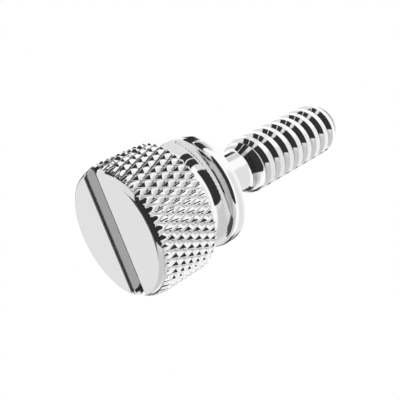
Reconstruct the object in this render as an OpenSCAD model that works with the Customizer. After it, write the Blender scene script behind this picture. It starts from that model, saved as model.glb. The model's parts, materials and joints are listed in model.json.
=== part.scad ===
// Thumb screw, turned in one piece: a knurled head with a screwdriver slot, a waist, a seating
// flange, a plain neck, a threaded shank and a rounded point.
// The slotted face lies on z = 0, +Z runs along the axis towards the point, and the slot runs
// along X. The knurl and the thread are shown by the plain cylinders over their crests.
// All sizes are in millimetres.

/* [Head] */
// Diameter over the crests of the knurl
head_d = 10.7; // [8.8:0.1:16]
// Length of the head, from the slotted face to its back face
head_l = 5.2; // [2.5:0.1:12]
// Radius of the rounded edge around the slotted face
head_edge_r = 0.9; // [0.2:0.05:2]

/* [Slot] */
// Width of the screwdriver slot
slot_w = 1.55; // [0.8:0.05:2.5]
// Depth of the slot
slot_depth = 0.95; // [0.4:0.05:2]
// Width of the broken edge along each lip of the slot
slot_lip = 0.08; // [0.02:0.01:0.2]

/* [Waist] */
// Diameter of the waist between the head and the flange
waist_d = 6.7; // [5:0.1:6.9]
// Length of the waist, from the back of the head to the front of the flange
waist_l = 2.55; // [1.1:0.05:6]
// Radius of the hollow curve that joins the waist to the flange
waist_cove_r = 0.95; // [0.2:0.05:1.05]

/* [Flange] */
// Diameter of the flange
flange_d = 9.5; // [9.3:0.1:16]
// Thickness of the flange
flange_t = 1.1; // [0.5:0.05:3]
// Radius of the rounded edge at the front of the flange
flange_edge_r = 0.35; // [0.1:0.05:0.4]

/* [Neck] */
// Diameter of the plain neck
neck_d = 3.6; // [2.5:0.05:4.5]
// Length of the plain neck, from the flange to the start of the cone
neck_l = 4.1; // [1:0.1:12]
// Length of the cone that leads from the neck up to the thread
cone_l = 0.95; // [0.3:0.05:2]

/* [Thread] */
// Diameter over the crests of the thread
thread_d = 4.83; // [4.6:0.01:6]
// Length of the thread, from the cone to the point
thread_l = 10.1; // [4:0.1:40]

/* [Point] */
// How far the point's start lies inside the crests of the thread
point_step = 0.135; // [0.01:0.005:0.5]
// Length of the point beyond the thread
point_l = 2.3; // [1:0.1:5]
// Diameter of the flat end of the point, measured to its unrounded corner
point_tip_d = 2.4; // [1.6:0.1:2.8]
// Radius of the rounded corner at the end of the point
point_tip_r = 0.6; // [0.1:0.05:0.7]

/* [Hidden] */
$fn = 96;

chrome = [0.86, 0.87, 0.88];
// How far a cut runs past the surface that it opens
past = 1;

// Heights of the shoulders along the axis
flange_front_z = head_l + waist_l;
flange_seat_z = flange_front_z + flange_t;
cone_z = flange_seat_z + neck_l;
thread_z = cone_z + cone_l;
point_z = thread_z + thread_l;
overall_l = point_z + point_l;

// Where the point starts, the lean of its side, and how far its rounded corner reaches
point_base_d = thread_d - 2 * point_step;
point_lean = atan((point_base_d - point_tip_d) / 2 / point_l);
point_tangent = point_tip_r / tan((90 + point_lean) / 2);

// Half sections, drawn with the axis along y

// A disc of diameter d and thickness t, with its lower edge rounded
module disc_section(d, t, edge_r) {
    square([d / 2 - edge_r, t]);
    translate([0, edge_r]) square([d / 2, t - edge_r]);
    translate([d / 2 - edge_r, edge_r]) circle(r = edge_r);
}

module head_section() {
    disc_section(head_d, head_l, head_edge_r);
}

module waist_section() {
    translate([0, head_l]) square([waist_d / 2, waist_l]);
    translate([waist_d / 2, flange_front_z - waist_cove_r]) difference() {
        square(waist_cove_r);
        translate([waist_cove_r, 0]) circle(r = waist_cove_r);
    }
}

module flange_section() {
    translate([0, flange_front_z]) disc_section(flange_d, flange_t, flange_edge_r);
}

module neck_section() {
    translate([0, flange_seat_z]) square([neck_d / 2, neck_l]);
    polygon([[0, cone_z], [neck_d / 2, cone_z], [thread_d / 2, thread_z], [0, thread_z]]);
}

module thread_section() {
    translate([0, thread_z]) square([thread_d / 2, thread_l]);
}

module point_section() {
    corner = [point_tip_d / 2, overall_l];
    on_side = corner + point_tangent * [sin(point_lean), -cos(point_lean)];
    on_end = corner - [point_tangent, 0];
    centre = on_end - [0, point_tip_r];
    polygon([[0, point_z], [point_base_d / 2, point_z], on_side, centre, on_end, [0, overall_l]]);
    translate(centre) circle(r = point_tip_r);
}

// The slot's section with its broken lips, run right across the head along X
module slot() {
    half_w = slot_w / 2;
    mouth = half_w + slot_lip + past;
    run = max(head_d, flange_d) + 2 * past;
    rotate([90, 0, 90]) translate([0, 0, -run / 2]) linear_extrude(run)
        polygon([[-mouth, -past], [-half_w, slot_lip], [-half_w, slot_depth],
                 [half_w, slot_depth], [half_w, slot_lip], [mouth, -past]]);
}

module thumb_screw() {
    color(chrome) difference() {
        rotate_extrude() {
            head_section();
            waist_section();
            flange_section();
            neck_section();
            thread_section();
            point_section();
        }
        slot();
    }
}

thumb_screw();
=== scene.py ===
import json
import math

import bmesh
import bpy
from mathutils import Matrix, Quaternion, Vector
from mathutils.bvhtree import BVHTree


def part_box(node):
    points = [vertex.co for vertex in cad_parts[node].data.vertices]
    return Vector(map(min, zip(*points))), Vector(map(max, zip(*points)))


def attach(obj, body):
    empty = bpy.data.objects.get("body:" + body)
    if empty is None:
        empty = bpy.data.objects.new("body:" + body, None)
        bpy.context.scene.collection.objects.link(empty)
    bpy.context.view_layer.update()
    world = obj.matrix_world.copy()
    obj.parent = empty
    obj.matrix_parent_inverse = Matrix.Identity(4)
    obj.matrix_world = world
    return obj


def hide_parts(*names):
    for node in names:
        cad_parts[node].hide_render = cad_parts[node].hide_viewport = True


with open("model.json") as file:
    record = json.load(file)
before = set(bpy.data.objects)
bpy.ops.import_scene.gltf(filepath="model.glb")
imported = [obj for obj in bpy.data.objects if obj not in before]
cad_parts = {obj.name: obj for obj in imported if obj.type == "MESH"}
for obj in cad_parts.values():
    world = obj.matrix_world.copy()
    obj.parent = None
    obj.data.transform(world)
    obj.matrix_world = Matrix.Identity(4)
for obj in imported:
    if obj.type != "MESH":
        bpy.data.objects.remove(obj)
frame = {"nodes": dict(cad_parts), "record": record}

bl_info = {
    "name": "Thumb Screw Studio",
    "version": (1, 0, 0),
    "blender": (4, 5, 0),
    "location": "3D View > Sidebar > Thumb Screw",
    "description": "Builds a chromed, knurled and slotted thumb screw around its packed solid",
    "category": "Add Mesh",
}

MM = 0.001
NODE = "thumb_screw"
BODY = "root"

# Material slots of the screw, in the order in which its faces name them
POLISHED, KNURLED, THREADED, MILLED = range(4)


# ---------------------------------------------------------------------------
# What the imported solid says
# ---------------------------------------------------------------------------

CAD_LOW, CAD_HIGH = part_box(NODE)
MOUNTS = {mount["name"]: mount for mount in frame["record"]["mounts"]}
CAD_TREE = BVHTree.FromPolygons(
    [v.co for v in frame["nodes"][NODE].data.vertices],
    [p.vertices for p in frame["nodes"][NODE].data.polygons],
)

HEAD_RADIUS = CAD_HIGH.y
SCREW_LENGTH = CAD_HIGH.z
SEAT_Z = MOUNTS["flange_seat"]["pos_m"][2]
SLOT_DEPTH = MOUNTS["driver_slot"]["pos_m"][2]
THREAD_RADIUS = MOUNTS["thread"]["dims"]["r_mm"] * MM
THREAD_LENGTH = MOUNTS["thread"]["dims"]["length_mm"] * MM
THREAD_START_Z = MOUNTS["thread"]["pos_m"][2] - THREAD_LENGTH / 2
THREAD_END_Z = THREAD_START_Z + THREAD_LENGTH


def solid_radius(z):
    """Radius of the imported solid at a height, measured by a ray that comes in along -Y."""
    hit = CAD_TREE.ray_cast(Vector((0, 1, z)), Vector((0, -1, 0)))[0]
    if hit is None:
        raise RuntimeError(f"the packed solid has nothing at z = {z}")
    return hit.y


# ---------------------------------------------------------------------------
# Sizes and finishes that a user may change
# ---------------------------------------------------------------------------

def length(name, description, millimetres):
    """A length property whose default is given in millimetres."""
    return bpy.props.FloatProperty(
        name=name, description=description, default=millimetres * MM,
        min=0.0, precision=5, unit="LENGTH", subtype="DISTANCE")


def angle(name, description, degrees):
    """An angle property whose default is given in degrees."""
    return bpy.props.FloatProperty(
        name=name, description=description, default=math.radians(degrees),
        unit="ROTATION", subtype="ANGLE")


def share(name, description, value):
    """A plain number from 0 to 1."""
    return bpy.props.FloatProperty(
        name=name, description=description, default=value, min=0.0, max=1.0, subtype="FACTOR")


def colour(name, description, value):
    """A linear RGB colour."""
    return bpy.props.FloatVectorProperty(
        name=name, description=description, default=value, size=3,
        min=0.0, max=1.0, subtype="COLOR")


class HeadSizes(bpy.types.PropertyGroup):
    """Sizes of the knurled head, its slot, the waist and the flange."""

    head_length: length("Head length", "From the slotted face to the back of the head", 5.2)
    edge_depth: length("Edge depth", "Width of the rounding around the slotted face", 0.63)
    edge_length: length("Edge length", "Length along the axis of that rounding", 1.6)
    diamonds: bpy.props.IntProperty(
        name="Diamonds", description="Diamonds around the knurl", default=45, min=12)
    diamond_length: length("Diamond length", "Length of one diamond along the axis", 1.525)
    diamond_depth: length("Diamond depth", "Height of a diamond above its grooves", 0.32)
    diamond_z: length("Diamond height", "Height of the middle of one row of diamonds", 1.471)
    diamond_turn: angle("Diamond turn", "Turn of that row of diamonds from the slot", 0.1)
    diamond_lean: angle("Diamond lean", "Turn of each row of diamonds from the one before", 0.4)
    knurl_start: length("Knurl start", "Height above which the knurl is cut", 0.3)
    back_edge: length("Back edge", "Chamfer on the back edge of the head", 0.1)
    cove_radius: length("Cove radius", "Hollow curve between the waist and the flange", 1.12)
    flange_thickness: length("Flange thickness", "Thickness of the seating flange", 1.1)
    flange_edge: length("Flange edge", "Width of the rounding on the flange's front edge", 0.25)
    flange_edge_length: length("Flange edge length", "Length along the axis of that rounding", 0.5)
    seat_edge: length("Seat edge", "Rounding on the back edge of the flange", 0.06)
    slot_width: length("Slot width", "Width of the screwdriver slot", 1.55)
    slot_lip: length("Slot lip", "Rounding along the lips of the slot", 0.22)
    slot_corner: length("Slot corner", "Rounding along the floor of the slot", 0.05)


class ShankSizes(bpy.types.PropertyGroup):
    """Sizes of the neck, the thread and the point."""

    cone_length: length("Cone length", "Cone from the neck up to the thread", 0.95)
    pitch: length("Pitch", "Distance from one turn of the thread to the next", 1.265)
    thread_depth: length("Thread depth", "Depth of the thread", 0.40)
    flank_lean: angle("Flank lean", "Angle between the thread's flanks and the screw's axis", 52.0)
    crest_width: length("Crest width", "Width of the flat land along the thread's crest", 0.50)
    crest_round: length("Crest rounding", "Rounding along both edges of the crest", 0.05)
    root_round: length("Root rounding", "Rounding along the thread's root", 0.06)
    first_crest: length("First crest", "Height of a crest on the +X side, near the cone", 14.0)
    neck_fillet: length("Neck fillet", "Rounding where the neck meets the flange", 0.12)
    blend: length("Blend", "Softness of the line where the thread runs out", 0.06)
    point_step: length("Point step", "How far the point starts inside the thread's crests", 0.135)
    tip_radius: length("Tip radius", "Radius of the flat end of the point", 1.2)
    tip_round: length("Tip rounding", "Rounding around the flat end of the point", 0.6)


class FinishSettings(bpy.types.PropertyGroup):
    """Colour and gloss of the chrome, and the painted shade in its grooves."""

    plate: colour("Plate", "Colour of the polished chrome", (0.72, 0.72, 0.722))
    # Painted shade: a darker colour deep in the knurl's and the thread's grooves, where shade falls
    groove_shade: colour(
        "Groove shade", "Painted shade deep in the knurl and the thread", (0.45, 0.45, 0.455))
    milled: colour(
        "Milled", "Colour of the slot's milled walls under their plating", (0.70, 0.70, 0.70))
    gloss: share("Roughness", "Roughness of clean polished chrome", 0.03)
    haze: share("Haze", "Extra roughness where the plate is handled or hard to polish", 0.10)


class StudioSettings(bpy.types.PropertyGroup):
    """The camera that looks at the screw, and the brightness of the light tent around it."""

    camera_azimuth: angle("Camera azimuth", "Direction from the screw to the camera, from +X", -103.69)
    camera_elevation: angle("Camera elevation", "Height of the camera, below the floor", -36.09)
    camera_roll: angle("Camera roll", "Turn of the camera about its line of sight", 61.02)
    camera_distance: length("Camera distance", "From the camera to the point that it looks at", 53.02)
    camera_aim: bpy.props.FloatVectorProperty(
        name="Camera aim", description="The point that the camera looks at",
        default=(1.23 * MM, 2.11 * MM, 9.95 * MM), size=3, precision=5,
        unit="LENGTH", subtype="TRANSLATION")
    tent_brightness: bpy.props.FloatProperty(
        name="Tent brightness", description="Brightness of the light tent's white walls",
        default=1.29, min=0.0)
    lens: bpy.props.FloatProperty(
        name="Lens", description="Focal length in millimetres", default=56.43, min=1.0)


GROUPS = (
    ("screw_head", HeadSizes),
    ("screw_shank", ShankSizes),
    ("screw_finish", FinishSettings),
    ("screw_studio", StudioSettings),
)


# ---------------------------------------------------------------------------
# Small helpers for turned meshes
# ---------------------------------------------------------------------------

def smooth_min(a, b, blend):
    """The smaller of two lengths, with the crossing rounded over a length."""
    gap = max(blend - abs(a - b), 0.0)
    return min(a, b) - gap * gap / (4.0 * blend)


def arc(centre, radius, start, end, steps):
    """Points (r, z) along an arc, from one angle to another, in degrees from +r towards +z."""
    points = []
    for step in range(steps + 1):
        a = math.radians(start + (end - start) * step / steps)
        points.append((centre[0] + radius * math.cos(a), centre[1] + radius * math.sin(a)))
    return points


class Turner:
    """Builds a closed skin from rings of vertices, each joined to the last."""

    def __init__(self):
        self.bm = bmesh.new()
        self.ring = None

    def face(self, corners, material):
        made = self.bm.faces.new(corners)
        made.material_index = material
        made.smooth = True
        return made

    def points(self, columns, radius, z, turn=0.0):
        """A ring of vertices, turned by an angle; radius is a length or a function of the angle."""
        ring = []
        for column in range(columns):
            phi = math.tau * column / columns
            r = radius(phi) if callable(radius) else radius
            place = (r * math.cos(phi + turn), r * math.sin(phi + turn), z)
            ring.append(self.bm.verts.new(place))
        return ring

    def start(self, ring, material):
        """Closes the skin with a flat face over its first ring."""
        self.face(list(reversed(ring)), material)
        self.ring = ring

    def end(self, material):
        """Closes the skin with a flat face over its last ring."""
        self.face(self.ring, material)

    def join(self, ring, material, falling=None):
        """Joins the last ring to a new one with as many vertices, or a whole share of them.
        falling(column) says which way a triangle's long side runs; without it, quads are made."""
        old, count = self.ring, len(self.ring)
        step = count // len(ring)
        for i in range(count):
            a, b = old[i], old[(i + 1) % count]
            if step > 1:
                corner = ring[(i // step) % len(ring)]
                self.face([a, b, corner], material)
                if i % step == step - 1:
                    self.face([b, ring[(i // step + 1) % len(ring)], corner], material)
                continue
            d, c = ring[i], ring[(i + 1) % count]
            if falling is None:
                self.face([a, b, c, d], material)
            elif falling(i):
                self.face([a, b, d], material)
                self.face([b, c, d], material)
            else:
                self.face([a, b, c], material)
                self.face([a, c, d], material)
        self.ring = ring

    def turn(self, profile, columns, material):
        """Adds one ring for each point (r, z) of a profile."""
        for r, z in profile:
            self.join(self.points(columns, r, z), material)


# ---------------------------------------------------------------------------
# The head
# ---------------------------------------------------------------------------

# Mesh columns and rows in half a diamond of the knurl, which has this many times the columns
# of the plain turned parts
HALF_CELL = 6
PLAIN_SHARE = 4
# Steps across the smooth part of the rounded front edge
EDGE_STEPS = 14
# Steps around the front edge of the flange
RIM_STEPS = 14
# Power of the front edge's curve: 2 is an ellipse and 1 is a straight chamfer
EDGE_POWER = 1.75
# Sharpness of the diamonds' ridges, from 0 to 1, and softness of the grooves between them
RIDGE = 0.985
GROOVE = 0.05


def wave(x):
    """A triangle wave, 0 at even whole numbers and 1 at odd ones, with slightly rounded turns."""
    return math.acos(RIDGE * math.cos(math.pi * x)) / math.pi


def diamond(x, y):
    """Height of the diamond pattern from 0 to 1; x and y count half diamonds from a peak."""
    height = math.hypot(1.0 - wave(x) - wave(y), GROOVE)
    return height / math.hypot(1.0 - 2.0 * wave(0.0), GROOVE)


class Head:
    """The turned form of the head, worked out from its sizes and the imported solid."""

    def __init__(self, sizes):
        self.sizes = sizes
        self.flat_radius = HEAD_RADIUS - sizes.edge_depth
        self.half_length = sizes.diamond_length / 2
        self.columns = 2 * HALF_CELL * sizes.diamonds
        self.plain_columns = self.columns // PLAIN_SHARE
        self.flange_front_z = SEAT_Z - sizes.flange_thickness
        self.waist_radius = solid_radius((sizes.head_length + self.flange_front_z) / 2)
        self.flange_radius = solid_radius(SEAT_Z - sizes.flange_thickness / 4)

    def edge_point(self, turn):
        """The point (r, z) of the rounded front edge after a turn in radians."""
        s = self.sizes
        out = math.sin(turn) ** (2.0 / EDGE_POWER)
        level = math.cos(turn) ** (2.0 / EDGE_POWER)
        return (self.flat_radius + s.edge_depth * out, s.edge_length * (1.0 - level))

    def edge_turn(self, z):
        """The turn at which the rounded front edge reaches a height."""
        level = 1.0 - z / self.sizes.edge_length
        return math.acos(level ** (EDGE_POWER / 2.0))

    def edge_height(self, r):
        """Height of the rounded front edge at a radius."""
        out = min(max((r - self.flat_radius) / self.sizes.edge_depth, 0.0), 1.0)
        return self.edge_point(math.asin(out ** (EDGE_POWER / 2.0)))[1]

    def limit(self, z):
        """Radius of the smooth blank that the knurl is cut into, at a height."""
        s = self.sizes
        if z < s.edge_length:
            return self.edge_point(self.edge_turn(z))[0]
        return HEAD_RADIUS - max(z - (s.head_length - s.back_edge), 0.0)

    def lean(self, z):
        """Turn of the diamonds' columns at a height, in radians."""
        s = self.sizes
        return s.diamond_turn + s.diamond_lean * (z - s.diamond_z) / s.diamond_length

    def knurl_radius(self, phi, z):
        """Radius of the knurled surface at an angle from its column of diamonds and a height."""
        s = self.sizes
        x = phi * s.diamonds / math.pi
        y = (z - s.diamond_z) / self.half_length
        cut = HEAD_RADIUS - s.diamond_depth * (1.0 - diamond(x, y))
        return smooth_min(self.limit(z), cut, s.diamond_depth * 0.12)

    def knurl_heights(self):
        """Heights of the knurl's rows of vertices, aligned with its diamonds."""
        s = self.sizes
        step = self.half_length / HALF_CELL
        first = math.ceil((s.knurl_start - s.diamond_z) / step)
        last = math.floor((s.head_length - s.back_edge - s.diamond_z) / step)
        return [(index, s.diamond_z + index * step) for index in range(first, last + 1)]

    def build(self, turner):
        """Turns the head, from the slotted face to the seat of the flange."""
        s = self.sizes
        support = 0.03 * MM
        turner.start(turner.points(self.columns, self.flat_radius - support, 0.0), POLISHED)

        rows = self.knurl_heights()
        swept = self.edge_turn(rows[0][1])
        edge = [self.edge_point(swept * step / EDGE_STEPS) for step in range(EDGE_STEPS)]
        turner.turn(edge, self.columns, POLISHED)

        for index, z in rows:
            turner.join(self.knurl_ring(turner, z), KNURLED,
                        lambda column: self.falls(column, index))
        for z in (s.head_length - s.back_edge / 2, s.head_length):
            turner.join(self.knurl_ring(turner, z), KNURLED)

        floor_radius = HEAD_RADIUS - s.diamond_depth - s.back_edge
        turner.turn([(floor_radius - support, s.head_length)], self.columns, POLISHED)
        corner = 0.15 * MM
        lower = arc((self.waist_radius + corner, s.head_length + corner), corner, 270, 180, 4)
        cove = arc((self.waist_radius + s.cove_radius, self.flange_front_z - s.cove_radius),
                   s.cove_radius, 180, 90, 16)
        rim = []
        for step in range(RIM_STEPS + 1):
            turn = math.radians(90) * step / RIM_STEPS
            rim.append((self.flange_radius - s.flange_edge * (1.0 - math.sin(turn)),
                        self.flange_front_z + s.flange_edge_length * (1.0 - math.cos(turn))))
        seat = arc((self.flange_radius - s.seat_edge, SEAT_Z - s.seat_edge), s.seat_edge, 0, 90, 3)
        turner.turn([(floor_radius - 2 * support, s.head_length)], self.plain_columns, POLISHED)
        turner.turn(lower + cove + rim + seat, self.plain_columns, POLISHED)

    def knurl_ring(self, turner, z):
        """A ring of the knurled surface, turned to follow the diamonds' columns."""
        return turner.points(self.columns, lambda phi: self.knurl_radius(phi, z), z, self.lean(z))

    def falls(self, column, index):
        """Whether a diamond's groove falls through a quad of the knurl's mesh."""
        x = (column + 0.5) / HALF_CELL
        y = (index - 0.5) / HALF_CELL
        return (math.floor(x) + math.floor(y)) % 2 == 0


# ---------------------------------------------------------------------------
# The shank
# ---------------------------------------------------------------------------

# Steps around each rounded edge of the thread
ROUND_STEPS = 4


class Shank:
    """The neck, the thread and the point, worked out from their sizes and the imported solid."""

    def __init__(self, sizes):
        self.sizes = sizes
        self.neck_radius = solid_radius((SEAT_Z + THREAD_START_Z) / 2)
        self.cone_z = THREAD_START_Z - sizes.cone_length
        self.base_radius = THREAD_RADIUS - sizes.point_step
        self.point_slope = (self.base_radius - sizes.tip_radius) / (SCREW_LENGTH - THREAD_END_Z)

    def point_radius(self, z):
        """Radius of the cone of the point at a height."""
        return self.base_radius - (z - THREAD_END_Z) * self.point_slope

    def blank(self, z):
        """Radius of the plain shank at a height, before the thread is cut."""
        s = self.sizes
        rise = (z - self.cone_z) / s.cone_length
        cone = self.neck_radius + (THREAD_RADIUS - self.neck_radius) * max(rise, 0.0)
        crest = THREAD_RADIUS + s.blend / 4
        return smooth_min(smooth_min(cone, crest, s.blend), self.point_radius(z), s.blend)

    def thread_section(self):
        """One turn of the thread as (height from the crest's middle, radius), root to root."""
        s = self.sizes
        support = 0.012 * MM
        fall = s.thread_depth / math.tan(s.flank_lean)
        lean = math.degrees(s.flank_lean)
        crest_end, root_start = s.crest_width / 2, s.crest_width / 2 + fall
        crest_cut = s.crest_round * math.tan(s.flank_lean / 2)
        root_cut = s.root_round * math.tan(s.flank_lean / 2)
        if crest_end < crest_cut or root_start + root_cut > s.pitch / 2:
            raise RuntimeError("the thread's depth and roundings don't fit its pitch")
        crest_r, root_r = THREAD_RADIUS, THREAD_RADIUS - s.thread_depth
        crest = arc((crest_r - s.crest_round, crest_end - crest_cut), s.crest_round,
                    0, lean, ROUND_STEPS)
        root = arc((root_r + s.root_round, root_start + root_cut), s.root_round,
                   180 + lean, 180, ROUND_STEPS)
        along = (-math.sin(s.flank_lean) * support, math.cos(s.flank_lean) * support)
        below_crest = (crest[-1][0] + along[0], crest[-1][1] + along[1])
        above_root = (root[0][0] - along[0], root[0][1] - along[1])
        half = [(crest_r, crest[0][1] - support)] + crest + [below_crest, above_root] + root
        falling = [(height, radius) for radius, height in half]
        return [(-height, radius) for height, radius in reversed(falling)] + falling

    def build(self, turner):
        """Turns the neck, winds the thread and closes the point."""
        s = self.sizes
        fillet = arc((self.neck_radius + s.neck_fillet, SEAT_Z + s.neck_fillet),
                     s.neck_fillet, 270, 180, 4)
        turner.turn(fillet, len(turner.ring), POLISHED)
        self.wind(turner)
        lean = math.degrees(math.atan(self.point_slope))
        reach = s.tip_round / math.tan(math.radians(90 + lean) / 2)
        centre = (s.tip_radius - reach, SCREW_LENGTH - s.tip_round)
        turner.turn(arc(centre, s.tip_round, lean, 90, 8), len(turner.ring), POLISHED)
        turner.end(POLISHED)

    def wind(self, turner):
        """Joins the last ring to a helical strip that ends on the point, and closes it with a ring."""
        s = self.sizes
        section = self.thread_section()
        rows, count = len(section), len(turner.ring)
        root_radius = THREAD_RADIUS - s.thread_depth
        bare_z = THREAD_END_Z + (self.base_radius - root_radius) / self.point_slope + 2 * s.blend
        round_z = SCREW_LENGTH - s.tip_round
        squeeze = 0.7 * (round_z - bare_z) / s.pitch
        first_turn = math.floor((self.cone_z - s.first_crest) / s.pitch) - 1
        last_turn = math.ceil((bare_z - s.first_crest) / s.pitch)

        def vertex(column, turn, row):
            phi = math.tau * column / count
            height, radius = section[row]
            z = s.first_crest + (turn + column / count) * s.pitch + height
            if z > bare_z:
                z = bare_z + (z - bare_z) * squeeze
            r = smooth_min(self.blank(z), radius, s.blend) if z > self.cone_z else self.blank(z)
            return turner.bm.verts.new((r * math.cos(phi), r * math.sin(phi), z))

        strip = []
        for turn in range(first_turn, last_turn):
            for row in range(rows):
                if s.first_crest + turn * s.pitch + section[row][0] > bare_z:
                    continue
                strip.append([vertex(column, turn, row) for column in range(count)])
        total = len(strip)

        def material(z):
            return THREADED if self.cone_z < z < bare_z else POLISHED

        def at(column, index):
            """The vertex at a column, where one past the last column is the next turn's first."""
            return strip[index][column] if column < count else strip[index + rows][0]

        for index in range(total - 1):
            for column in range(count):
                if column == count - 1 and index + 1 + rows > total - 1:
                    continue
                corners = [at(column, index), at(column + 1, index),
                           at(column + 1, index + 1), at(column, index + 1)]
                turner.face(corners, material(corners[0].co.z))

        ring = turner.ring
        for column in range(count - 1):
            turner.face([ring[column], ring[column + 1], strip[0][column + 1], strip[0][column]],
                        POLISHED)
        step = [strip[index][0] for index in range(rows + 1)]
        turner.face([ring[-1], ring[0]] + step + [strip[0][-1]], POLISHED)

        top_z = max(v.co.z for v in strip[-1]) + 0.05 * MM
        ring = turner.points(count, self.point_radius(top_z), top_z)
        for column in range(count - 1):
            turner.face([strip[-1][column], strip[-1][column + 1], ring[column + 1], ring[column]],
                        POLISHED)
        step = [strip[index][-1] for index in range(total - 1 - rows, total)]
        turner.face([strip[-1][0], ring[0], ring[-1]] + list(reversed(step)), POLISHED)
        turner.ring = ring


# ---------------------------------------------------------------------------
# The slot
# ---------------------------------------------------------------------------

# How far the cutter reaches past the head
PAST_HEAD = 1.0 * MM
# How far the lips' rounding turns from the slot's walls towards the face
LIP_TURN = math.radians(80)
# Distance of the rows that keep the slot's walls and floor flat in the shading
SLOT_SUPPORT = 0.004 * MM
# Steps around each lip and corner, and stations along the cutter
SLOT_STEPS = 4
SLOT_STATIONS = 96


def slot_section(sizes, surface_z):
    """Half of the cutter's section as (distance from the middle, height), mouth first."""
    half = sizes.slot_width / 2
    lip = sizes.slot_lip
    slope = math.radians(90) - LIP_TURN
    lip_centre = (half + lip, surface_z + lip * math.cos(slope))
    section = []
    for step in range(SLOT_STEPS + 1):
        a = LIP_TURN * (1 - step / SLOT_STEPS)
        section.append((lip_centre[0] - lip * math.cos(a), lip_centre[1] - lip * math.sin(a)))
    mouth = (section[0][0] + PAST_HEAD * math.cos(slope),
             section[0][1] - PAST_HEAD * math.sin(slope))
    section.insert(0, mouth)
    corner = sizes.slot_corner
    centre = (half - corner, SLOT_DEPTH - corner)
    section.append((half, section[-1][1] + SLOT_SUPPORT))
    section.append((half, centre[1] - SLOT_SUPPORT))
    for step in range(SLOT_STEPS + 1):
        a = math.radians(90) * step / SLOT_STEPS
        section.append((centre[0] + corner * math.cos(a), centre[1] + corner * math.sin(a)))
    section.append((centre[0] - SLOT_SUPPORT, SLOT_DEPTH))
    return section


def cut_slot(screw, head, materials):
    """Cuts the slot across the head along X, with lips that follow its rounded edge."""
    sizes = head.sizes
    reach = HEAD_RADIUS + PAST_HEAD
    bm = bmesh.new()
    stations = []
    for index in range(SLOT_STATIONS + 1):
        x = -reach * math.cos(math.pi * index / SLOT_STATIONS)
        surface_z = head.edge_height(math.hypot(x, sizes.slot_width / 2))
        half = slot_section(sizes, surface_z)
        outline = half + [(-y, z) for y, z in reversed(half)]
        stations.append([bm.verts.new((x, y, z)) for y, z in outline])
    for before, after in zip(stations, stations[1:]):
        for i in range(len(before)):
            j = (i + 1) % len(before)
            bm.faces.new([before[i], before[j], after[j], after[i]])
    bm.faces.new(list(reversed(stations[0])))
    bm.faces.new(stations[-1])
    bmesh.ops.recalc_face_normals(bm, faces=bm.faces)
    for face in bm.faces:
        face.material_index = MILLED
        face.smooth = True
    mesh = bpy.data.meshes.new("slot_cutter")
    bm.to_mesh(mesh)
    bm.free()
    for material in materials:
        mesh.materials.append(material)
    cutter = bpy.data.objects.new("slot_cutter", mesh)
    bpy.context.scene.collection.objects.link(cutter)

    cut = screw.modifiers.new("slot", "BOOLEAN")
    cut.operation = "DIFFERENCE"
    cut.solver = "MANIFOLD"
    cut.object = cutter
    bpy.context.view_layer.objects.active = screw
    bpy.ops.object.modifier_apply(modifier=cut.name)
    bpy.data.objects.remove(cutter)
    bpy.data.meshes.remove(mesh)
    if not any(face.material_index == MILLED for face in screw.data.polygons):
        raise RuntimeError("the slot wasn't cut")


def sharpen_slot(mesh):
    """Keeps the line between the slot and the rest of the head crisp in the shading."""
    bm = bmesh.new()
    bm.from_mesh(mesh)
    for edge in bm.edges:
        kinds = {face.material_index == MILLED for face in edge.link_faces}
        if len(kinds) == 2:
            edge.smooth = False
    bm.to_mesh(mesh)
    bm.free()


# ---------------------------------------------------------------------------
# Materials
# ---------------------------------------------------------------------------

class Nodes:
    """Adds nodes to a tree and links them by name."""

    def __init__(self, tree):
        self.tree = tree

    def add(self, kind, values=None, **settings):
        """Adds a node; values are constants or sockets by input name or number."""
        node = self.tree.nodes.new(kind)
        for name, value in settings.items():
            setattr(node, name, value)
        for key, value in (values or {}).items():
            if isinstance(value, bpy.types.NodeSocket):
                self.tree.links.new(value, node.inputs[key])
            else:
                node.inputs[key].default_value = value
        return node

    def math(self, operation, *values):
        """A math node's result."""
        inputs = dict(enumerate(values))
        return self.add("ShaderNodeMath", inputs, operation=operation).outputs[0]

    def degrees(self, operation, *values):
        """An angle from a math node, in degrees."""
        return self.math("DEGREES", self.math(operation, *values))

    def mix(self, factor, low, high):
        """A number between two others, which are constants or sockets."""
        node = self.add("ShaderNodeMix", {0: factor, 2: low, 3: high}, data_type="FLOAT")
        return node.outputs[0]

    def ramp(self, value, low, high, start=0.0, end=1.0):
        """A smooth rise of a value between two limits, mapped to a range."""
        values = {"Value": value, "From Min": low, "From Max": high, "To Min": start, "To Max": end}
        node = self.add("ShaderNodeMapRange", values, interpolation_type="SMOOTHSTEP")
        return node.outputs["Result"]


def new_group(name, inputs, outputs):
    """An empty shader node group with named number sockets; inputs give their defaults."""
    group = bpy.data.node_groups.new(name, "ShaderNodeTree")
    for socket, default in inputs.items():
        made = group.interface.new_socket(socket, in_out="INPUT", socket_type="NodeSocketFloat")
        made.default_value = default
    for socket in outputs:
        group.interface.new_socket(socket, in_out="OUTPUT", socket_type="NodeSocketFloat")
    nodes = Nodes(group)
    return group, nodes, nodes.add("NodeGroupInput").outputs, nodes.add("NodeGroupOutput").inputs


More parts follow.
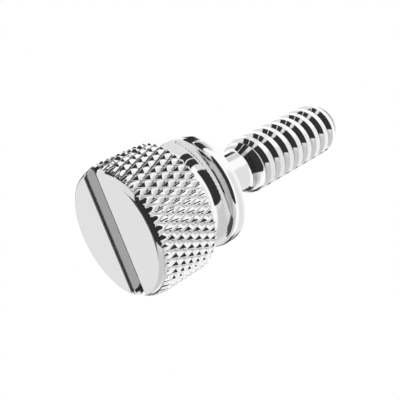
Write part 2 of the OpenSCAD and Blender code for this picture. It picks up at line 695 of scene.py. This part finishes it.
def turned_marks_group():
    """Faint rings left by turning and polishing, and the patchy haze of handling."""
    group, nodes, given, out = new_group(
        "Turned marks", {"Ring scale": 9000.0, "Patch scale": 260.0}, ["Rings", "Haze"])
    place = nodes.add("ShaderNodeTexCoord").outputs["Object"]
    parts = nodes.add("ShaderNodeSeparateXYZ", {0: place}).outputs
    square = nodes.math("ADD", nodes.math("MULTIPLY", parts[0], parts[0]),
                        nodes.math("MULTIPLY", parts[1], parts[1]))
    radius = nodes.math("SQRT", square)
    around = nodes.add("ShaderNodeCombineXYZ", {
        0: nodes.math("MULTIPLY_ADD", parts[0], 0.02, radius),
        1: nodes.math("MULTIPLY_ADD", parts[1], 0.02, parts[2])}).outputs[0]
    rings = nodes.add("ShaderNodeTexNoise", {
        "Vector": around, "Scale": given["Ring scale"], "Detail": 3.0, "Roughness": 0.6})
    patches = nodes.add("ShaderNodeTexNoise", {
        "Vector": place, "Scale": given["Patch scale"], "Detail": 4.0, "Roughness": 0.55})
    nodes.tree.links.new(rings.outputs[0], out["Rings"])
    nodes.tree.links.new(nodes.ramp(patches.outputs[0], 0.42, 0.72), out["Haze"])
    return group


def groove_shade_group():
    """1 at the bottom of a groove and 0 at its crest, by distance from the screw's axis.
    It places the painted shade in the grooves, and their extra roughness.
    """
    group, nodes, given, out = new_group(
        "Groove shade", {"Root radius": 0.0020, "Crest radius": 0.0024}, ["Depth"])
    place = nodes.add("ShaderNodeTexCoord").outputs["Object"]
    parts = nodes.add("ShaderNodeSeparateXYZ", {0: place}).outputs
    square = nodes.math("ADD", nodes.math("MULTIPLY", parts[0], parts[0]),
                        nodes.math("MULTIPLY", parts[1], parts[1]))
    radius = nodes.math("SQRT", square)
    depth = nodes.ramp(radius, given["Root radius"], given["Crest radius"], 1.0, 0.0)
    nodes.tree.links.new(depth, out["Depth"])
    return group


def use_group(nodes, group, **values):
    """Places a node group with its own values and returns its outputs."""
    node = nodes.add("ShaderNodeGroup", node_tree=group)
    for name, value in values.items():
        node.inputs[name.replace("_", " ").capitalize()].default_value = value
    return node.outputs


def mixed(nodes, factor, low, high):
    """A colour between two others."""
    node = nodes.add("ShaderNodeMix", data_type="RGBA")
    node.inputs[6].default_value = (*low, 1.0)
    node.inputs[7].default_value = (*high, 1.0)
    nodes.tree.links.new(factor, node.inputs[0])
    return node.outputs[2]


def chrome(name, finish, marks, ring_scale, ring_height, base, groove_shade=None):
    """A chrome finish. groove_shade is (group, root radius, crest radius, colour) for grooved parts,
    whose colour gets painted shade towards the bottom of the grooves.
    """
    material = bpy.data.materials.new(name)
    material.use_nodes = True
    nodes = Nodes(material.node_tree)
    nodes.tree.nodes.clear()
    worn = use_group(nodes, marks, ring_scale=ring_scale)
    bump = nodes.add("ShaderNodeBump", {
        "Strength": 1.0, "Distance": ring_height, "Height": worn["Rings"]})
    roughness = nodes.math("MULTIPLY_ADD", worn["Haze"], finish.haze * 0.3, finish.gloss)
    shader = nodes.add("ShaderNodeBsdfPrincipled", {
        "Base Color": (*base, 1.0), "Metallic": 1.0, "Normal": bump.outputs[0]})
    if groove_shade:
        # Painted shade: the colour darkens towards the bottom of the grooves; the duller plate there
        # is also rougher
        group, root, crest, deep = groove_shade
        depth = use_group(nodes, group, root_radius=root, crest_radius=crest)["Depth"]
        painted_groove_shade = mixed(nodes, depth, base, deep)
        nodes.tree.links.new(painted_groove_shade, shader.inputs["Base Color"])
        roughness = nodes.math("MULTIPLY_ADD", depth, finish.haze * 0.6, roughness)
    nodes.tree.links.new(roughness, shader.inputs["Roughness"])
    out = nodes.add("ShaderNodeOutputMaterial")
    nodes.tree.links.new(shader.outputs[0], out.inputs[0])
    return material


def screw_materials(head, shank, finish):
    """The screw's four finishes, in the order of their slots. The knurled and threaded ones
    have painted shade in their grooves.
    """
    marks = turned_marks_group()
    groove_shade = groove_shade_group()
    plate, deep, milled = tuple(finish.plate), tuple(finish.groove_shade), tuple(finish.milled)
    knurl_root = HEAD_RADIUS - head.sizes.diamond_depth
    thread_root = THREAD_RADIUS - shank.sizes.thread_depth
    return [
        chrome("chrome_polished", finish, marks, 9000.0, 2e-8, plate),
        chrome("chrome_knurled", finish, marks, 6000.0, 2e-8, plate,
               (groove_shade, knurl_root, knurl_root + head.sizes.diamond_depth * 0.35, deep)),
        chrome("chrome_threaded", finish, marks, 6000.0, 2e-8, plate,
               (groove_shade, thread_root, thread_root + shank.sizes.thread_depth * 0.35, deep)),
        chrome("chrome_milled", finish, marks, 14000.0, 2e-7, milled),
    ]


# ---------------------------------------------------------------------------
# The studio
# ---------------------------------------------------------------------------

def card_group():
    """A card in the light tent: a soft-edged window of two angles, in degrees."""
    group, nodes, given, out = new_group("Tent card", {
        "Across": 0.0, "Up": 0.0, "Centre": 0.0, "Half width": 20.0,
        "Low": -20.0, "High": 20.0, "Soft": 2.0}, ["Mask"])
    off = nodes.math("SUBTRACT", given["Across"], given["Centre"])
    turn = nodes.math("ABSOLUTE", nodes.math("WRAP", off, 180.0, -180.0))
    soft = given["Soft"]
    low = nodes.math("MULTIPLY", soft, -1.0)
    inside = nodes.ramp(nodes.math("SUBTRACT", given["Half width"], turn), low, soft)
    above = nodes.ramp(nodes.math("SUBTRACT", given["Up"], given["Low"]), low, soft)
    below = nodes.ramp(nodes.math("SUBTRACT", given["High"], given["Up"]), low, soft)
    mask = nodes.math("MULTIPLY", nodes.math("MULTIPLY", inside, above), below)
    nodes.tree.links.new(mask, out["Mask"])
    return group


# What hangs around the screw in the light tent. Each has a brightness, the azimuth of its middle
# from the camera's, its half width, its low and high elevation, and how soft its edges are.
WALL_CARDS = {
    "pale table": (0.80, 180, 105, -90, -22, 18),
    "pale wall": (0.80, 75, 80, 28, 48, 8),
    "camera opening": (0.033, 5, 47, -72, 6, 2),
    "right curtain": (0.62, 108, 46, -66, -8, 10),
    "right edge": (0.10, 161, 15, 26, 50, 3),
    "left flag": (0.03, -109, 13, 26, 42, 2),
    "left flag's shade": (0.52, -74, 17, 30, 42, 6),
    "right flag": (0.05, 136, 17, 5, 31, 3),
    "backdrop's foot": (0.22, 180, 35, -6, 20, 3),
}
# What lies below it, by angles from straight down: the middle and half width across the line of
# sight, and the near and far ends along it, where positive is towards the camera.
TABLE_CARDS = {
    "dark cloth": (0.033, 2, 27, -1, 30, 1.2),
    "dark strip": (0.033, 2, 24, -24, -5, 1.2),
}


def hang_cards(nodes, level, cards, across, up):
    """Lays cards over a brightness, by two angles, and returns the new brightness."""
    group = bpy.data.node_groups.get("Tent card") or card_group()
    for label, (value, centre, half, low, high, soft) in cards.items():
        card = nodes.add("ShaderNodeGroup", node_tree=group, label=label)
        for name, number in (("Centre", centre), ("Half width", half), ("Low", low),
                             ("High", high), ("Soft", soft)):
            card.inputs[name].default_value = number
        nodes.tree.links.new(across, card.inputs["Across"])
        nodes.tree.links.new(up, card.inputs["Up"])
        level = nodes.mix(card.outputs["Mask"], level, value)
    return level


def build_world(studio):
    """A white light tent with dark cards. The camera sees plain white behind the screw."""
    world = bpy.data.worlds.new("light_tent")
    bpy.context.scene.world = world
    world.use_nodes = True
    nodes = Nodes(world.node_tree)
    nodes.tree.nodes.clear()
    turned = nodes.add("ShaderNodeVectorRotate", {
        "Vector": nodes.add("ShaderNodeTexCoord").outputs["Generated"],
        "Angle": -studio.camera_azimuth}, rotation_type="Z_AXIS")
    near, side, up = nodes.add("ShaderNodeSeparateXYZ", {0: turned.outputs[0]}).outputs
    azimuth = nodes.degrees("ARCTAN2", side, near)
    elevation = nodes.degrees("ARCSINE", up)
    along = nodes.degrees("ARCTAN2", near, nodes.math("MULTIPLY", up, -1.0))
    across = nodes.degrees("ARCSINE", side)

    level = nodes.ramp(elevation, -12.0, 4.0, 0.78, 1.04)
    level = hang_cards(nodes, level, WALL_CARDS, azimuth, elevation)
    level = hang_cards(nodes, level, TABLE_CARDS, across, along)
    level = nodes.math("MULTIPLY", level, studio.tent_brightness)
    path = nodes.add("ShaderNodeLightPath").outputs
    mirrored = nodes.math("MAXIMUM", path["Is Glossy Ray"], path["Is Transmission Ray"])
    level = nodes.mix(mirrored, 0.9, level)
    level = nodes.mix(path["Is Camera Ray"], level, 1.0)
    background = nodes.add("ShaderNodeBackground", {"Color": level, "Strength": 1.0})
    out = nodes.add("ShaderNodeOutputWorld")
    nodes.tree.links.new(background.outputs[0], out.inputs[0])


# Radius of the floor, its gap under the screw, and where it starts and ends fading out, in metres
FLOOR_RADIUS = 1.0
FLOOR_GAP = 0.02 * MM
FADE_START = 0.03
FADE_END = 0.2


def floor_material():
    """A pale matt floor that fades out far away, and is clear from below to show the slot."""
    material = bpy.data.materials.new("pale_floor")
    material.use_nodes = True
    nodes = Nodes(material.node_tree)
    nodes.tree.nodes.clear()
    grain = nodes.add("ShaderNodeTexNoise", {"Scale": 900.0, "Detail": 3.0})
    tone = mixed(nodes, grain.outputs[0], (0.90, 0.90, 0.90), (0.93, 0.93, 0.93))
    matt = nodes.add("ShaderNodeBsdfPrincipled", {"Base Color": tone, "Roughness": 0.8})
    clear = nodes.add("ShaderNodeBsdfTransparent")
    side = nodes.add("ShaderNodeNewGeometry").outputs["Backfacing"]
    place = nodes.add("ShaderNodeTexCoord").outputs["Object"]
    distance = nodes.add("ShaderNodeVectorMath", {0: place}, operation="LENGTH").outputs["Value"]
    unseen = nodes.math("MAXIMUM", side, nodes.ramp(distance, FADE_START, FADE_END))
    mix = nodes.add("ShaderNodeMixShader", {0: unseen, 1: matt.outputs[0], 2: clear.outputs[0]})
    out = nodes.add("ShaderNodeOutputMaterial")
    nodes.tree.links.new(mix.outputs[0], out.inputs[0])
    return material


# How far the upright black flags stand from the screw's axis
FLAG_DISTANCE = 14.0 * MM
# Each flag: its azimuth from +X in degrees, then its two sides, its foot and its top in millimetres
FLAGS = (
    (184.3, -5.2, -0.25, -3.0, 15.0),
    (184.3, 0.4, 4.9, -3.0, 15.0),
)


def flag_material():
    """Black cloth."""
    material = bpy.data.materials.new("black_cloth")
    material.use_nodes = True
    nodes = Nodes(material.node_tree)
    nodes.tree.nodes.clear()
    weave = nodes.add("ShaderNodeTexNoise", {"Scale": 1200.0, "Detail": 2.0})
    tone = mixed(nodes, weave.outputs[0], (0.02, 0.02, 0.02), (0.05, 0.05, 0.05))
    cloth = nodes.add("ShaderNodeBsdfPrincipled", {"Base Color": tone, "Roughness": 0.9})
    out = nodes.add("ShaderNodeOutputMaterial")
    nodes.tree.links.new(cloth.outputs[0], out.inputs[0])
    return material


def build_floor():
    """A round floor just under the slotted face."""
    bm = bmesh.new()
    bmesh.ops.create_circle(bm, cap_ends=True, segments=96, radius=FLOOR_RADIUS)
    mesh = bpy.data.meshes.new("floor")
    bm.to_mesh(mesh)
    bm.free()
    mesh.materials.append(floor_material())
    floor = bpy.data.objects.new("floor", mesh)
    floor.location.z = CAD_LOW.z - FLOOR_GAP
    floor.visible_glossy = False
    floor.visible_shadow = False
    bpy.context.scene.collection.objects.link(floor)


def build_flags():
    """Black flags close to the screw, which only the chrome's reflections show."""
    bm = bmesh.new()
    for azimuth, near, far, low, high in FLAGS:
        turn = math.radians(azimuth)
        away = Vector((math.cos(turn), math.sin(turn), 0.0)) * FLAG_DISTANCE
        side = Vector((-math.sin(turn), math.cos(turn), 0.0))
        corners = []
        for across, z in ((near, low), (far, low), (far, high), (near, high)):
            corners.append(bm.verts.new(away + (side * across + Vector((0.0, 0.0, z))) * MM))
        bm.faces.new(corners)
    mesh = bpy.data.meshes.new("flags")
    bm.to_mesh(mesh)
    bm.free()
    mesh.materials.append(flag_material())
    flags = bpy.data.objects.new("flags", mesh)
    flags.visible_camera = False
    flags.visible_diffuse = False
    flags.visible_shadow = False
    bpy.context.scene.collection.objects.link(flags)


# Diameter, power in watts and place of the lamp, in metres
LAMP_SIZE = 0.12
LAMP_POWER = 0.02
LAMP_PLACE = (0.04, -0.05, 0.14)


def build_lamp():
    """One broad soft lamp overhead, for the floor's shadow."""
    lamp = bpy.data.lights.new("overhead", "AREA")
    lamp.shape = "DISK"
    lamp.size = LAMP_SIZE
    lamp.energy = LAMP_POWER
    ob = bpy.data.objects.new("overhead", lamp)
    ob.location = LAMP_PLACE
    ob.rotation_euler = (Vector((0, 0, SCREW_LENGTH / 2)) - ob.location).to_track_quat(
        "-Z", "Y").to_euler()
    ob.visible_glossy = False
    bpy.context.scene.collection.objects.link(ob)


def place_camera(studio):
    """Looks up at the slotted face from beside and below the screw, with the picture rolled."""
    data = bpy.data.cameras.new("camera")
    data.lens = studio.lens
    data.sensor_width = 36.0
    data.clip_start = 0.001
    data.clip_end = 50.0
    level = math.cos(studio.camera_elevation)
    back = Vector((level * math.cos(studio.camera_azimuth),
                   level * math.sin(studio.camera_azimuth),
                   math.sin(studio.camera_elevation)))
    camera = bpy.data.objects.new("camera", data)
    camera.location = Vector(studio.camera_aim) + back * studio.camera_distance
    camera.rotation_mode = "QUATERNION"
    roll = Quaternion((0.0, 0.0, 1.0), studio.camera_roll)
    camera.rotation_quaternion = back.to_track_quat("Z", "Y") @ roll
    bpy.context.scene.collection.objects.link(camera)
    bpy.context.scene.camera = camera


# ---------------------------------------------------------------------------
# Operators, panel and registration
# ---------------------------------------------------------------------------

class SCREW_OT_make_screw(bpy.types.Operator):
    """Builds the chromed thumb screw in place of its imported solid"""

    bl_idname = "screw.make_screw"
    bl_label = "Make Thumb Screw"

    def execute(self, context):
        scene = context.scene
        head = Head(scene.screw_head)
        shank = Shank(scene.screw_shank)
        turner = Turner()
        head.build(turner)
        shank.build(turner)
        bmesh.ops.recalc_face_normals(turner.bm, faces=turner.bm.faces)
        mesh = bpy.data.meshes.new("chromed_thumb_screw")
        turner.bm.to_mesh(mesh)
        turner.bm.free()
        materials = screw_materials(head, shank, scene.screw_finish)
        for material in materials:
            mesh.materials.append(material)
        screw = bpy.data.objects.new("chromed_thumb_screw", mesh)
        scene.collection.objects.link(screw)
        cut_slot(screw, head, materials)
        sharpen_slot(screw.data)
        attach(screw, BODY)
        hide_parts(NODE)
        return {"FINISHED"}


class SCREW_OT_make_studio(bpy.types.Operator):
    """Sets up the floor, the light tent and the camera"""

    bl_idname = "screw.make_studio"
    bl_label = "Make Studio"

    def execute(self, context):
        studio = context.scene.screw_studio
        context.scene.view_settings.view_transform = "Standard"
        build_floor()
        build_world(studio)
        build_flags()
        build_lamp()
        place_camera(studio)
        return {"FINISHED"}


class SCREW_PT_panel(bpy.types.Panel):
    """Lists the sizes, the finishes and the steps"""

    bl_label = "Thumb Screw"
    bl_idname = "SCREW_PT_panel"
    bl_space_type = "VIEW_3D"
    bl_region_type = "UI"
    bl_category = "Thumb Screw"

    def draw(self, context):
        for name, kind in GROUPS:
            box = self.layout.box()
            for field in kind.__annotations__:
                box.prop(getattr(context.scene, name), field)
        self.layout.operator(SCREW_OT_make_screw.bl_idname)
        self.layout.operator(SCREW_OT_make_studio.bl_idname)


CLASSES = tuple(kind for _, kind in GROUPS) + (
    SCREW_OT_make_screw, SCREW_OT_make_studio, SCREW_PT_panel)


def register():
    for kind in CLASSES:
        bpy.utils.register_class(kind)
    for name, kind in GROUPS:
        setattr(bpy.types.Scene, name, bpy.props.PointerProperty(type=kind))


def unregister():
    for name, _ in GROUPS:
        delattr(bpy.types.Scene, name)
    for kind in reversed(CLASSES):
        bpy.utils.unregister_class(kind)


def main():
    register()
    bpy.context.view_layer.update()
    bpy.ops.screw.make_screw()
    bpy.ops.screw.make_studio()


if __name__ == "__main__":
    main()
